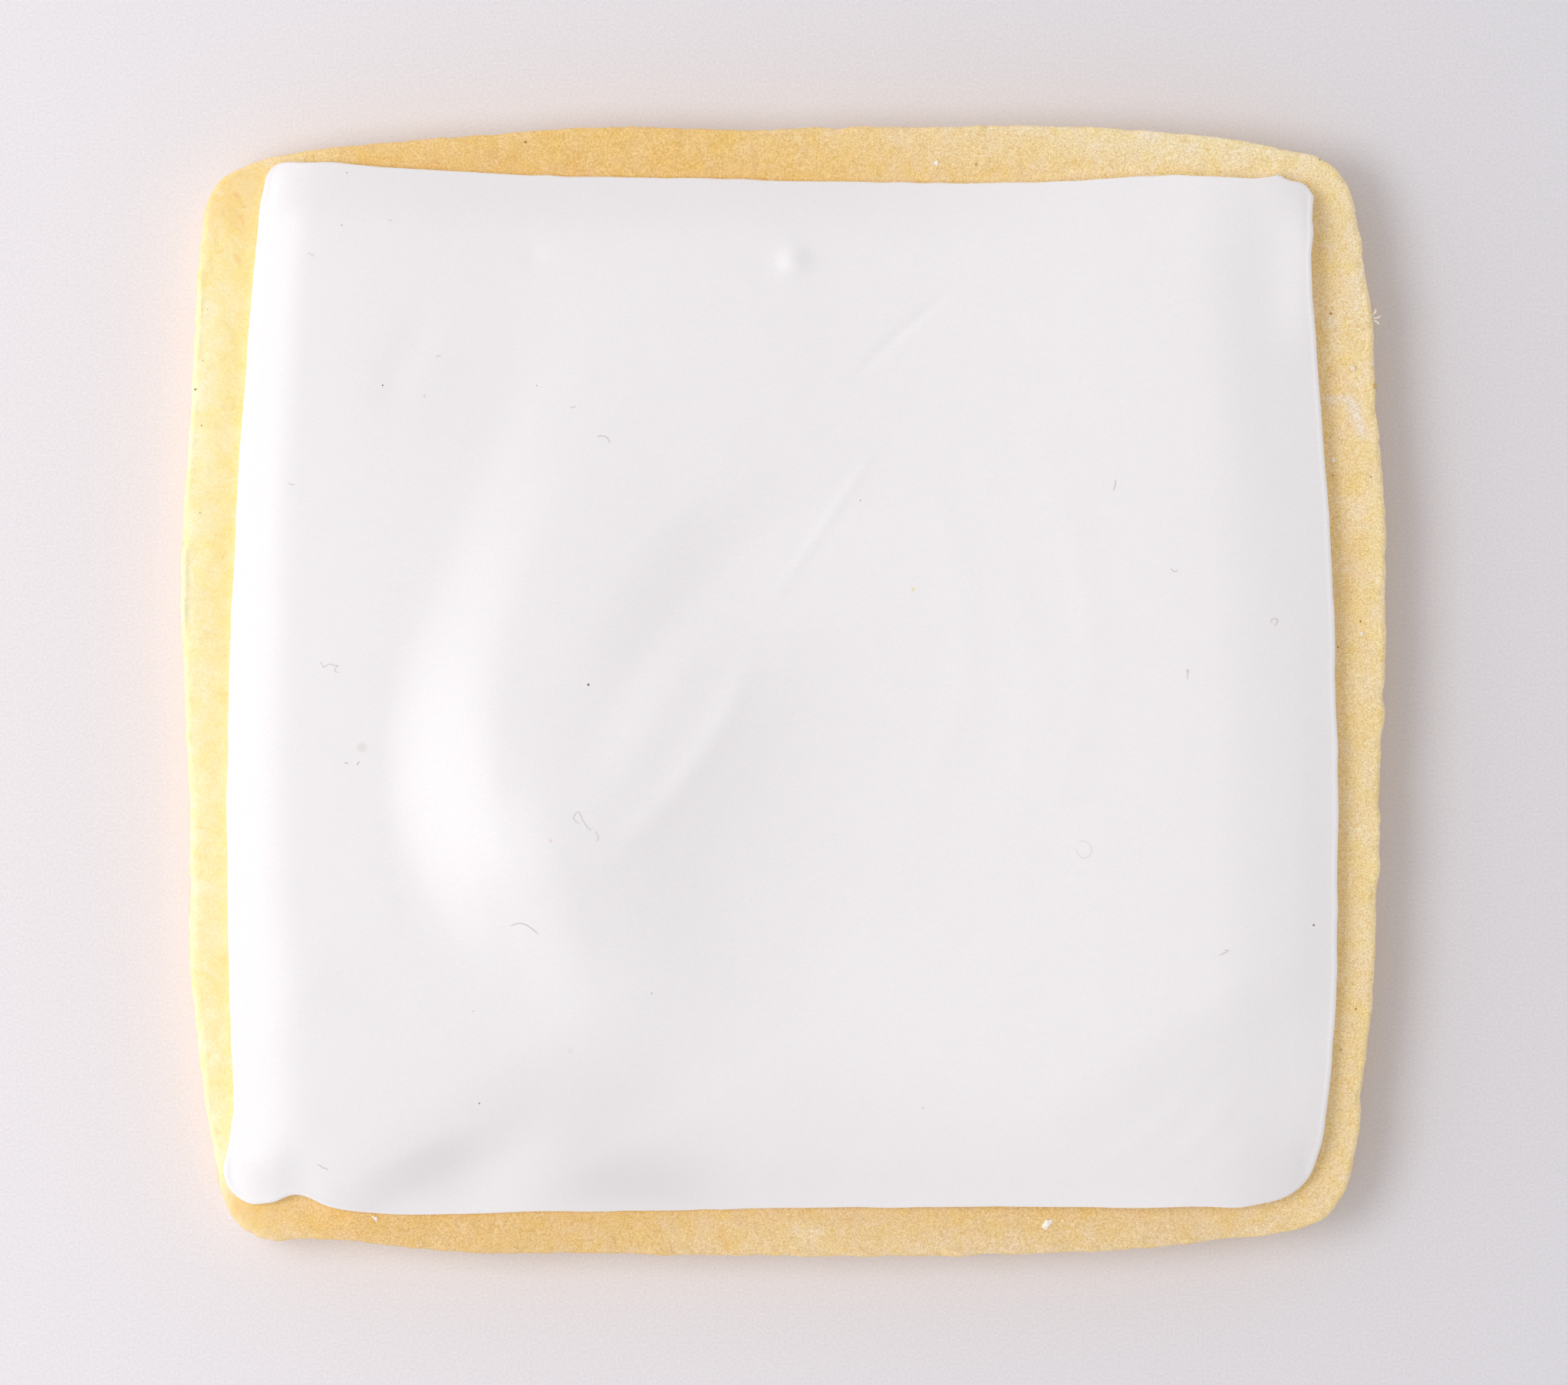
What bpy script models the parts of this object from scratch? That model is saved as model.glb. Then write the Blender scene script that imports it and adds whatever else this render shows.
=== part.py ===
"""A square cut-out sugar cookie with one layer of smooth white icing.

Two solids: the biscuit, a flat slab with soft edges, and the icing that lies on it. Metres, +Z up. The origin is
under the middle of the biscuit, on the surface that it lies on. +X is the cookie's right and +Y its top.
"""

from math import cos, radians, sin

import bmesh
import bpy
import numpy as np

MM = 0.001

# Driving dimensions, in millimetres.
BISCUIT_THICKNESS = 5.0
BISCUIT_TOP_EDGE = 0.6  # radius of the upper edge
BISCUIT_FOOT_EDGE = 0.4  # radius of the lower edge
ICING_THICKNESS = 1.9  # from the biscuit's top to the icing's, in the flat middle
ICING_LIP = 0.35  # height that the icing rounds off along its whole edge
ICING_LIP_REACH = 0.6  # how far in from the edge that rounding goes
ICING_LIP_POWER = 2.4  # the higher it is, the later the rounding starts
RELIEF_AT_EDGE = 0.6  # share of the relief below that is left at the very edge
GAP = 0.3  # clearance between the two solids

# The icing also sinks towards its sides: how far, and over what width. The far sides are the upper and the lower.
LEFT_SINK, LEFT_SINK_REACH = 0.9, 4.3
RIGHT_SINK, RIGHT_SINK_REACH = 0.8, 8.0
FAR_SINK, FAR_SINK_REACH = 0.75, 4.0
LEAST_ICING = 0.6  # it is never thinner than this

# Outline of the biscuit, counter-clockwise from its lower right corner: a square with bulging sides.
BISCUIT_OUTLINE = [
    (36.4, -34.6), (37.9, -31.0), (38.45, -26.5), (39.15, -19.5), (39.4, -13.3),
    (39.6, -10.4), (39.55, -6.2), (39.8, -1.0), (39.95, 7.5), (39.85, 13.0),
    (39.3, 19.5), (38.95, 25.8), (38.5, 28.6), (38.1, 31.3), (36.6, 34.7),
    (32.6, 36.05), (28.0, 36.8), (20.0, 37.4), (13.5, 37.5), (9.2, 37.4),
    (3.5, 37.45), (-2.0, 37.2), (-6.0, 37.35), (-11.0, 37.5), (-20.5, 36.85),
    (-27.5, 36.3), (-33.0, 35.6), (-36.0, 34.75), (-37.9, 33.3), (-38.75, 29.0),
    (-39.0, 24.0), (-39.4, 18.0), (-40.0, 7.3), (-39.7, -2.0), (-39.4, -10.0),
    (-39.4, -18.5), (-38.85, -24.0), (-37.8, -30.6), (-37.05, -34.0), (-35.5, -36.0),
    (-30.5, -36.3), (-23.5, -37.15), (-12.0, -37.4), (0.0, -37.5), (12.5, -37.45),
    (22.0, -37.05), (28.5, -36.5), (33.4, -35.9),
]

# Outline of the icing, the same way round, ten points to a side with a corner first.
ICING_OUTLINE = [
    (34.35, -32.85), (35.45, -30.7), (36.05, -27.7), (36.45, -22.5), (36.7, -10.0),
    (36.5, 2.0), (35.95, 13.5), (35.25, 22.5), (34.95, 28.6), (35.1, 31.6),
    (34.75, 33.4), (33.2, 34.05), (31.0, 33.95), (26.0, 34.1), (18.0, 33.75),
    (9.0, 33.65), (-5.0, 33.95), (-18.0, 34.2), (-26.0, 34.65), (-31.8, 35.05),
    (-33.85, 34.75), (-34.5, 33.0), (-34.85, 29.7), (-35.5, 22.5), (-36.2, 13.0),
    (-36.7, 1.0), (-36.85, -11.0), (-36.62, -22.5), (-36.45, -27.2), (-36.75, -29.8),
    (-37.05, -32.3), (-35.8, -33.8), (-34.1, -33.9), (-32.2, -33.4), (-30.0, -34.15),
    (-27.5, -34.55), (-17.0, -34.55), (6.0, -34.2), (27.5, -34.15), (31.4, -34.05),
]

# Swells (+) and hollows (-) of the icing's top: centre x and y, half length, half width, turn of the long axis
# from +X in degrees, and height.
ICING_RELIEF = [
    (-14.0, -3.0, 19.0, 7.5, 76.0, 1.00),  # the long mound left of the middle
    (30.0, 0.0, 60.0, 20.0, 90.0, 0.70),  # the whole right side stands higher
    (-6.3, 9.0, 7.0, 3.0, 48.0, -0.15),  # groove along the mound's upper right
    (-7.5, -5.0, 7.5, 1.5, 54.0, 0.14),  # ridge at its lower right
    (-15.5, -30.5, 12.0, 5.0, 28.0, -0.40),  # the lower left dips
    (-22.5, -32.0, 5.5, 1.9, 28.0, -0.20),  # valley by the lower edge
    (-35.2, -32.0, 2.2, 1.5, 60.0, 0.25),  # lobe at the lower left corner
    (34.6, 29.5, 6.0, 1.4, 92.0, 0.50),  # raised rim at the upper right corner
    (0.7, 28.5, 1.1, 1.0, 0.0, 0.20),  # pimple near the upper edge
]

SAMPLES_BISCUIT = 3  # points from one outline point to the next
SAMPLES_ICING = 5
EDGE_SEGMENTS = 4
RING_CROWDING = 1.45  # over 1 draws the icing's rings towards its edge
FLAT = 0.9  # a face is level if its normal leans this far up or down
UNDERSIDE_INSETS = (1.3, 2.8)  # rings of the icing's underside, in from its edge


def clear_scene():
    for thing in list(bpy.data.objects):
        bpy.data.objects.remove(thing, do_unlink=True)


def new_collection(name):
    collection = bpy.data.collections.new(name)
    bpy.context.scene.collection.children.link(collection)
    return collection


def new_material(name, colour, roughness):
    material = bpy.data.materials.new(name)
    material.use_nodes = True
    shader = material.node_tree.nodes["Principled BSDF"]
    shader.inputs["Base Color"].default_value = (*colour, 1.0)
    shader.inputs["Roughness"].default_value = roughness
    shader.inputs["Metallic"].default_value = 0.0
    material.diffuse_color = (*colour, 1.0)
    return material


def outline_curve(name, outline, samples, collection):
    """A closed smooth curve through the outline's points."""
    curve = bpy.data.curves.new(name, "CURVE")
    curve.dimensions = "2D"
    curve.resolution_u = samples
    spline = curve.splines.new("BEZIER")
    spline.bezier_points.add(len(outline) - 1)
    for point, (x, y) in zip(spline.bezier_points, outline):
        point.co = (x * MM, y * MM, 0.0)
        point.handle_left_type = point.handle_right_type = "AUTO"
    spline.use_cyclic_u = True
    obj = bpy.data.objects.new(name, curve)
    collection.objects.link(obj)
    return obj


def mesh_of(obj):
    """A new mesh of the object as it is evaluated."""
    bpy.context.view_layer.update()
    return bpy.data.meshes.new_from_object(obj.evaluated_get(bpy.context.evaluated_depsgraph_get()))


def ring_of(obj):
    """The points of a curve that has no fill, in order, as an array of x and y."""
    mesh = mesh_of(obj)
    ring = np.array([vertex.co[:2] for vertex in mesh.vertices])
    bpy.data.meshes.remove(mesh)
    return ring


def add_object(name, mesh, material, collection):
    mesh.name = name
    mesh.materials.clear()
    mesh.materials.append(material)
    mesh.shade_smooth()
    mesh.set_sharp_from_angle(angle=radians(40))
    obj = bpy.data.objects.new(name, mesh)
    collection.objects.link(obj)
    return obj


def distance_to_ring(points, ring):
    """Distance of each point from the closed ring's nearest edge."""
    start = ring
    along = np.roll(ring, -1, axis=0) - start
    offset = points[:, None, :] - start[None, :, :]
    share = np.clip((offset * along).sum(2) / (along**2).sum(1), 0.0, 1.0)
    return np.linalg.norm(offset - share[..., None] * along, axis=2).min(1)


def biscuit_top(points, biscuit_ring):
    """Height of the biscuit's top over each point: flat, then an arc down at the edge."""
    radius = BISCUIT_TOP_EDGE * MM
    short = np.clip(radius - distance_to_ring(points, biscuit_ring), 0.0, radius)
    return BISCUIT_THICKNESS * MM - radius + np.sqrt(radius**2 - short**2)


def build_biscuit(centre, material, collection, helpers):
    """The outline as a slab, its upper and lower edges rounded by one weighted bevel."""
    flat = outline_curve("biscuit_slab", BISCUIT_OUTLINE, SAMPLES_BISCUIT, helpers)
    flat.data.fill_mode = "BOTH"
    flat.data.extrude = BISCUIT_THICKNESS * MM / 2
    mesh = mesh_of(flat)
    bpy.data.objects.remove(flat, do_unlink=True)

    work = bmesh.new()
    work.from_mesh(mesh)
    bmesh.ops.remove_doubles(work, verts=work.verts, dist=1e-6)
    bmesh.ops.translate(work, verts=work.verts, vec=(-centre[0], -centre[1], BISCUIT_THICKNESS * MM / 2))
    work.normal_update()
    inside_caps = [e for e in work.edges if all(abs(f.normal.z) > FLAT for f in e.link_faces)]
    bmesh.ops.dissolve_edges(work, edges=inside_caps)
    weight = work.edges.layers.float.new("bevel_weight_edge")
    middle = BISCUIT_THICKNESS * MM / 2
    for edge in work.edges:
        if any(abs(face.normal.z) > FLAT for face in edge.link_faces):
            upper = edge.verts[0].co.z > middle
            edge[weight] = 1.0 if upper else BISCUIT_FOOT_EDGE / BISCUIT_TOP_EDGE
    work.to_mesh(mesh)
    work.free()

    biscuit = add_object("biscuit", mesh, material, collection)
    bevel = biscuit.modifiers.new("Edges", "BEVEL")
    bevel.limit_method = "WEIGHT"
    bevel.width = BISCUIT_TOP_EDGE * MM
    bevel.segments = EDGE_SEGMENTS
    bevel.use_clamp_overlap = False
    return biscuit


def square_rings(ring, side):
    """(side + 1) squared points that fill the ring: rings of a square grid, each a smaller copy of the outline.

    A grid point at (a, b) from -1 to 1 lies on the ring max(|a|, |b|), as far round it as round that square.
    """
    a, b = np.meshgrid(np.linspace(-1, 1, side + 1), np.linspace(-1, 1, side + 1), indexing="xy")
    size = np.maximum(np.abs(a), np.abs(b))
    safe = np.where(size > 0, size, 1.0)
    right, top, left = a == size, b == size, a == -size
    turn = np.select([right & ~top, top & ~left, left & (b > -size)], [b, -a, -b], a) / safe / 2 + 0.5
    turn += np.select([right & ~top, top & ~left, left & (b > -size)], [0, 1, 2], 3)
    place = turn * side
    low = np.floor(place).astype(int)
    share = (place - low)[..., None]
    edge = ring[low % len(ring)] * (1 - share) + ring[(low + 1) % len(ring)] * share
    reach = 1 - (1 - size) ** RING_CROWDING
    return (edge * reach[..., None]).reshape(-1, 2)


def swell(points, x, y, half_length, half_width, turn, height):
    """One smooth swell with a flat crown, long along its turn."""
    dx, dy = points[:, 0] - x, points[:, 1] - y
    along = (dx * cos(radians(turn)) + dy * sin(radians(turn))) / half_length
    across = (dy * cos(radians(turn)) - dx * sin(radians(turn))) / half_width
    return height * np.exp(-((along**2 + across**2) ** 1.5))


def icing_height(points, ring):
    """Height of the icing's top above the biscuit's flat top, in millimetres, for points in millimetres."""
    edge = distance_to_ring(points, ring)
    height = ICING_THICKNESS - ICING_LIP * np.clip(1 - edge / ICING_LIP_REACH, 0, 1) ** ICING_LIP_POWER
    side = len(ring) // 4
    right, left = ring[: side + 1], ring[2 * side : 3 * side + 1][::-1]
    for border, sink, reach in ((left, LEFT_SINK, LEFT_SINK_REACH), (right, RIGHT_SINK, RIGHT_SINK_REACH)):
        inward = np.abs(np.interp(points[:, 1], border[:, 1], border[:, 0]) - points[:, 0])
        height -= sink * np.clip(1 - inward / reach, 0, 1) ** 2
    upper, lower = ring[side : 2 * side + 1][::-1], np.vstack([ring[3 * side :], ring[:1]])
    for border in (upper, lower):
        inward = np.abs(np.interp(points[:, 0], border[:, 0], border[:, 1]) - points[:, 1])
        height -= FAR_SINK * np.clip(1 - inward / FAR_SINK_REACH, 0, 1) ** 2
    fade = np.clip(edge / ICING_LIP_REACH, RELIEF_AT_EDGE, 1)
    for values in ICING_RELIEF:
        height += swell(points, *values) * fade
    return np.maximum(height, LEAST_ICING)


def inset_ring(ring, inset):
    """The ring drawn in evenly, along the normal at each point."""
    along = np.roll(ring, -1, axis=0) - np.roll(ring, 1, axis=0)
    along /= np.linalg.norm(along, axis=1)[:, None]
    return ring - inset * np.stack([along[:, 1], -along[:, 0]], axis=1)


def build_icing(centre, biscuit_ring, material, collection, helpers):
    """The icing: a top in relief, a short wall round it, and an underside that follows the biscuit."""
    guide = outline_curve("icing_outline", ICING_OUTLINE, SAMPLES_ICING, helpers)
    ring = ring_of(guide) - centre
    bpy.data.objects.remove(guide, do_unlink=True)
    side = len(ring) // 4

    top = square_rings(ring, side)
    height = icing_height(top / MM, ring / MM) * MM + BISCUIT_THICKNESS * MM
    sag = biscuit_top(top, biscuit_ring) - BISCUIT_THICKNESS * MM
    points = [(x, y, z) for (x, y), z in zip(top, height + sag)]
    row = side + 1
    faces = [
        (j * row + i, j * row + i + 1, (j + 1) * row + i + 1, (j + 1) * row + i)
        for j in range(side)
        for i in range(side)
    ]
    # The grid's border, from the lower right corner, counter-clockwise.
    border = [j * row + side for j in range(side)]
    border += [side * row + i for i in range(side, 0, -1)]
    border += [j * row for j in range(side, 0, -1)]
    border += list(range(side))

    count = len(ring)
    lower = [ring] + [inset_ring(ring, inset * MM) for inset in UNDERSIDE_INSETS]
    last = border
    for loop in lower:
        first = len(points)
        level = biscuit_top(loop, biscuit_ring) + GAP * MM
        points += [(x, y, z) for (x, y), z in zip(loop, level)]
        new = list(range(first, first + count))
        faces += [(last[i], new[i], new[(i + 1) % count], last[(i + 1) % count]) for i in range(count)]
        last = new
    faces.append(tuple(reversed(last)))

    mesh = bpy.data.meshes.new("icing")
    mesh.from_pydata(points, [], faces)
    mesh.update()
    return add_object("icing", mesh, material, collection)


def main():
    clear_scene()
    cookie = new_collection("iced_sugar_cookie")
    helpers = new_collection("outlines")
    biscuit_material = new_material("Baked biscuit", (0.80, 0.56, 0.24), 0.85)
    icing_material = new_material("White icing", (0.86, 0.85, 0.84), 0.45)

    guide = outline_curve("biscuit_outline", BISCUIT_OUTLINE, SAMPLES_BISCUIT, helpers)
    ring = ring_of(guide)
    bpy.data.objects.remove(guide, do_unlink=True)
    centre = (ring.min(0) + ring.max(0)) / 2
    build_biscuit(centre, biscuit_material, cookie, helpers)
    build_icing(centre, ring - centre, icing_material, cookie, helpers)


main()
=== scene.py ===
from math import cos, pi, radians, sin

import bpy
import numpy as np
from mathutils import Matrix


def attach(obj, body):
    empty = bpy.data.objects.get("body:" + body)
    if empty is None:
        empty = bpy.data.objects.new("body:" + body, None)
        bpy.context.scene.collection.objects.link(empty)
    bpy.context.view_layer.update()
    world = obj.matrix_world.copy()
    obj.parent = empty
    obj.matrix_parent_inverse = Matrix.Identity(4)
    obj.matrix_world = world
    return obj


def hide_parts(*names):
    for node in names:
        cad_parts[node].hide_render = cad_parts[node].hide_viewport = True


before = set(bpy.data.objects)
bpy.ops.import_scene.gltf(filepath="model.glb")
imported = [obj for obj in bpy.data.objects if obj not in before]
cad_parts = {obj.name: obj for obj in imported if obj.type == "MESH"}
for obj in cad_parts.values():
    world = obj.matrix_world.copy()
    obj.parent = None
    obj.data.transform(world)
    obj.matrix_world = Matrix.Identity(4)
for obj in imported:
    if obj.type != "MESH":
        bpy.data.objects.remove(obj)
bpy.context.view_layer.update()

# An iced sugar cookie: a square cut-out biscuit with bulging sides and one smooth layer of white icing.
# The dictionaries hold millimetres and degrees, unless a note says otherwise. Meshes are in metres.
# +X is the cookie's right and +Y its top; z is height above the table.

mm = 0.001


# Reading the frame

def nodePoints(name):
    # every point of a CAD node, in millimetres
    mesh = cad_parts[name].data
    flat = np.empty(len(mesh.vertices) * 3)
    mesh.vertices.foreach_get("co", flat)
    return flat.reshape(-1, 3) / mm


def ease(share):
    # a smooth step from 0 to 1
    share = np.clip(share, 0, 1)
    return share * share * (3 - 2 * share)


def ramp(value, start, far):
    # a straight rise from 0 at the start to 1 this far beyond it
    return np.clip((value - start) / far, 0, 1)


def wallRing(points, tallEnough):
    # the outline: places where one point stands straight above another, in order of angle
    together, apart = 0.0231, 0.2  # how near points count as one place, and how far apart places are
    keys, group = np.unique(np.round(points[:, :2] / together).astype(int), axis=0, return_inverse=True)
    group = group.reshape(-1)
    low = np.full(len(keys), np.inf)
    high = np.full(len(keys), -np.inf)
    np.minimum.at(low, group, points[:, 2])
    np.maximum.at(high, group, points[:, 2])
    ring = np.zeros((len(keys), 2))
    np.add.at(ring, group, points[:, :2])
    ring = (ring / np.bincount(group)[:, None])[high - low > tallEnough]
    ring = ring[np.argsort(np.arctan2(ring[:, 1], ring[:, 0]))]
    # a place that was found twice is kept once
    return ring[np.linalg.norm(ring - np.roll(ring, 1, axis=0), axis=1) > apart]


def smoothStretch(before, here, after, later, share):
    # the Catmull-Rom curve from here to after, at these shares of the way
    return 0.5 * (2 * here + (after - before) * share + (2 * before - 5 * here + 4 * after - later) * share**2
                  + (3 * here - before - 3 * after + later) * share**3)


def smoothRing(ring, count):
    # a closed smooth curve through the ring, read at equal steps
    stretch = 16  # points from one place of the ring to the next
    share = np.linspace(0, 1, stretch, endpoint=False)[:, None, None]
    fine = smoothStretch(*(np.roll(ring, shift, axis=0) for shift in (1, 0, -1, -2)), share)
    return evenRing(fine.transpose(1, 0, 2).reshape(-1, 2), count)


def evenSteps(line, count):
    # a polyline read at equal steps along its length, without its end
    far = np.concatenate([[0], np.cumsum(np.linalg.norm(np.diff(line, axis=0), axis=1))])
    steps = np.linspace(0, far[-1], count, endpoint=False)
    return np.stack([np.interp(steps, far, line[:, axis]) for axis in (0, 1)], axis=1)


def evenRing(fine, count):
    # the closed polyline read at equal steps along its length
    return evenSteps(np.vstack([fine, fine[:1]]), count)


def evenSides(fine, side):
    # the closed polyline cut at its four corners, each side read at equal steps, from the lower right
    corners = [np.argmax(fine @ np.array(way)) for way in ((1, -1), (1, 1), (-1, 1), (-1, -1))]
    return np.vstack([evenSteps(np.roll(fine, -start, axis=0)[: (end - start) % len(fine) + 1], side)
                      for start, end in zip(corners, corners[1:] + corners[:1])])


def ringOutward(ring):
    # the unit vector out of the ring at each of its points
    along = np.roll(ring, -1, axis=0) - np.roll(ring, 1, axis=0)
    along /= np.linalg.norm(along, axis=1)[:, None]
    return np.stack([along[:, 1], -along[:, 0]], axis=1)


def ringDistance(points, ring):
    # how far each point is from the ring's nearest edge, some thousands at a time
    atOnce = 4000
    step = np.roll(ring, -1, axis=0) - ring
    square = (step**2).sum(1)
    found = []
    for part in np.array_split(points, max(1, len(points) // atOnce)):
        offset = part[:, None, :] - ring[None, :, :]
        share = np.clip((offset * step).sum(2) / square, 0, 1)
        found.append(np.sqrt(((offset - share[..., None] * step) ** 2).sum(2).min(1)))
    return np.concatenate(found)


def softNoise(points, cell, seed):
    # smooth random values from -1 to 1: one at each corner of a cubic lattice, smooth steps between
    repeat = 32  # the lattice starts again after this many cells
    lattice = np.random.default_rng(seed).uniform(-1, 1, (repeat, repeat, repeat))
    place = points / cell + 500.0  # never below zero
    low = np.floor(place).astype(int)
    share = ease(place - low)
    total = np.zeros(len(points))
    for corner in np.ndindex(2, 2, 2):
        index = (low + corner) % repeat
        weight = np.prod(np.where(np.array(corner) == 1, share, 1 - share), axis=1)
        total += weight * lattice[index[:, 0], index[:, 1], index[:, 2]]
    return total


def placeObject(name, data):
    placed = bpy.data.objects.new(name, data)
    bpy.context.scene.collection.objects.link(placed)
    return placed


def meshPiece(name, points, faces, material, slot=None, node=None):
    # a closed mesh, given in millimetres, as a piece that rides on the cookie
    mesh = bpy.data.meshes.new(name)
    mesh.from_pydata(points * mm, [], faces)
    mesh.validate()
    mesh.shade_smooth()
    mesh.materials.append(material)
    piece = placeObject(name, mesh)
    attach(piece, "root")
    if node:
        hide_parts(node)
    return piece


def stripFaces(upper, lower):
    # quads between two closed rows of point numbers, facing outwards where upper lies above lower
    return np.stack([upper, lower, np.roll(lower, -1), np.roll(upper, -1)], axis=1).tolist()


def rowFaces(number):
    # quads between all the rows of a table of point numbers, the uppermost first
    return [face for upper, lower in zip(number[:-1], number[1:]) for face in stripFaces(upper, lower)]


def closedFaces(number):
    # the same, closed at its top and bottom
    return rowFaces(number) + [number[0].tolist(), number[-1][::-1].tolist()]


biscuitPoints = nodePoints("biscuit")
icingPoints = nodePoints("icing")
biscuitHeight = biscuitPoints[:, 2].max()
# only the walls are this tall
biscuitOutline = wallRing(biscuitPoints, 2.0)
icingOutline = wallRing(icingPoints, 0.15)
biscuitRing = smoothRing(biscuitOutline, 500)
print("outlines read:", len(biscuitOutline), "and", len(icingOutline), "points")


# Camera, light and table

camera = {
    "sensor": 36.0,
    "height": 600.0,  # above the level where the biscuit is widest
    "level": 2.5,
    "shownWidth": 104.47,  # width of the view there
    "aim": (0.06, -0.11),
}

studio = {
    "keyDistance": 300.0,
    "keyElevation": 61.0,
    "keySize": 165.0,  # diameter
    "keyPower": 0.29,  # watts
    "keyColour": (0.985, 0.965, 0.97),
    "sky": (0.403, 0.396, 0.4),  # the light from all round
    "skyLow": 2.5,  # how much stronger it is at the horizon than overhead
    "skySides": 1.25,  # how much stronger it is at the left and right
    "skyLean": 0.8,  # and how much of that moves from the right to the left
    "backdrop": (0.8, 0.785, 0.8),  # what is seen beyond the table
}

table = {
    # painted light: the card is painted lighter on the left, towards the lamp, and darker on the right
    "left": (0.836, 0.812, 0.84),  # its colour this far to the left of the middle, and to the right
    "right": (0.777, 0.764, 0.798),
    "beside": 52.0,
    "roughness": 0.9,
    "grain": 0.16,
    "tooth": (0.945, 1.055),  # its colour is multiplied by one to the other
    "radius": 900.0,
    "sides": 96,
    "fade": (230.0, 700.0),  # it blends into the backdrop between these distances
}


def makeCamera():
    data = bpy.data.cameras.new("camera")
    data.sensor_width = camera["sensor"]
    data.lens = camera["sensor"] * camera["height"] / camera["shownWidth"]
    data.clip_start = 0.01
    data.clip_end = 10.0
    eye = placeObject("camera", data)
    eye.location = [place * mm for place in (*camera["aim"], camera["height"] + camera["level"])]
    bpy.context.scene.camera = eye


def addNode(tree, kind, values=None, **settings):
    # a node with its settings; values or other nodes' outputs go into its inputs, by name or number
    node = tree.nodes.new("ShaderNode" + kind)
    for name, value in settings.items():
        setattr(node, name, value)
    for name, value in (values or {}).items():
        socket = node.inputs[name]
        if isinstance(value, bpy.types.NodeSocket):
            tree.links.new(value, socket)
        else:
            socket.default_value = (*value, 1) if socket.type == "RGBA" else value
    return node


def maths(tree, operation, *values):
    # the output of a Math node on numbers or other nodes' outputs
    return addNode(tree, "Math", dict(enumerate(values)), operation=operation).outputs[0]


def remap(tree, value, low, high, newLow=0.0, newHigh=1.0, smooth=True):
    # value from low to high, clamped and eased, becomes newLow to newHigh
    kind = "SMOOTHSTEP" if smooth else "LINEAR"
    return addNode(tree, "MapRange", {"Value": value, "From Min": low, "From Max": high, "To Min": newLow,
                                      "To Max": newHigh}, interpolation_type=kind).outputs["Result"]


def axisValue(tree, where, axis):
    return addNode(tree, "SeparateXYZ", {0: where}).outputs[axis]


def brighten(tree, colour, factor):
    return addNode(tree, "VectorMath", {0: colour, "Scale": factor}, operation="SCALE").outputs[0]


def mixColour(tree, share, first, second, blend="MIX"):
    # from the first colour to the second by the share, or their product where blend is MULTIPLY
    # a Mix node's inputs 6 and 7 and its output 2 are for colours
    inputs = {0: share, 6: first, 7: second}
    return addNode(tree, "Mix", inputs, data_type="RGBA", blend_type=blend).outputs[2]


noiseSpan = (0.3, 0.7)  # nearly all the values of a noise lie between these


def noise(tree, where, size, detail=2.0, rough=0.5, distort=0.0):
    # a Noise Texture with blots about size metres across; a socket for size gives blots per metre
    scale = size if isinstance(size, bpy.types.NodeSocket) else 1 / size
    return addNode(tree, "TexNoise", {"Vector": where, "Scale": scale, "Detail": detail, "Roughness": rough,
                                      "Distortion": distort}).outputs["Fac"]


def makeLight():
    # a round lamp on the left, which shines along its own -Z
    rise = radians(studio["keyElevation"])
    far = studio["keyDistance"] * mm
    data = bpy.data.lights.new("key", "AREA")
    data.shape = "DISK"
    data.size = studio["keySize"] * mm
    data.energy = studio["keyPower"]
    data.color = studio["keyColour"]
    lamp = placeObject("key", data)
    lamp.location = (-far * cos(rise), 0.0, far * sin(rise))
    lamp.rotation_euler = (0.0, rise - pi / 2, 0.0)
    lamp.visible_camera = False

    # strength = 1 + low (1 - |z|) cubed + sides |x| - lean x, for a way (x, y, z)
    world = bpy.data.worlds.new("studio")
    world.use_nodes = True
    tree = world.node_tree
    lit = tree.nodes["Background"]
    lit.inputs["Color"].default_value = (*studio["sky"], 1)
    way = addNode(tree, "TexCoord").outputs["Generated"]
    parts = addNode(tree, "SeparateXYZ", {0: way})
    level = maths(tree, "SUBTRACT", 1.0, maths(tree, "ABSOLUTE", parts.outputs["Z"]))
    low = maths(tree, "MULTIPLY_ADD", maths(tree, "POWER", level, 3.0), studio["skyLow"], 1.0)
    sides = maths(tree, "MULTIPLY_ADD", maths(tree, "ABSOLUTE", parts.outputs["X"]), studio["skySides"], low)
    strength = maths(tree, "MULTIPLY_ADD", parts.outputs["X"], -studio["skyLean"], sides)
    tree.links.new(strength, lit.inputs["Strength"])
    # the camera sees an even backdrop instead of the light
    seen = addNode(tree, "Background", {"Color": studio["backdrop"]})
    path = addNode(tree, "LightPath").outputs["Is Camera Ray"]
    choose = addNode(tree, "MixShader", {0: path, 1: lit.outputs[0], 2: seen.outputs[0]})
    tree.links.new(choose.outputs[0], tree.nodes["World Output"].inputs["Surface"])
    bpy.context.scene.world = world
    bpy.context.scene.view_settings.view_transform = "Standard"


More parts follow.
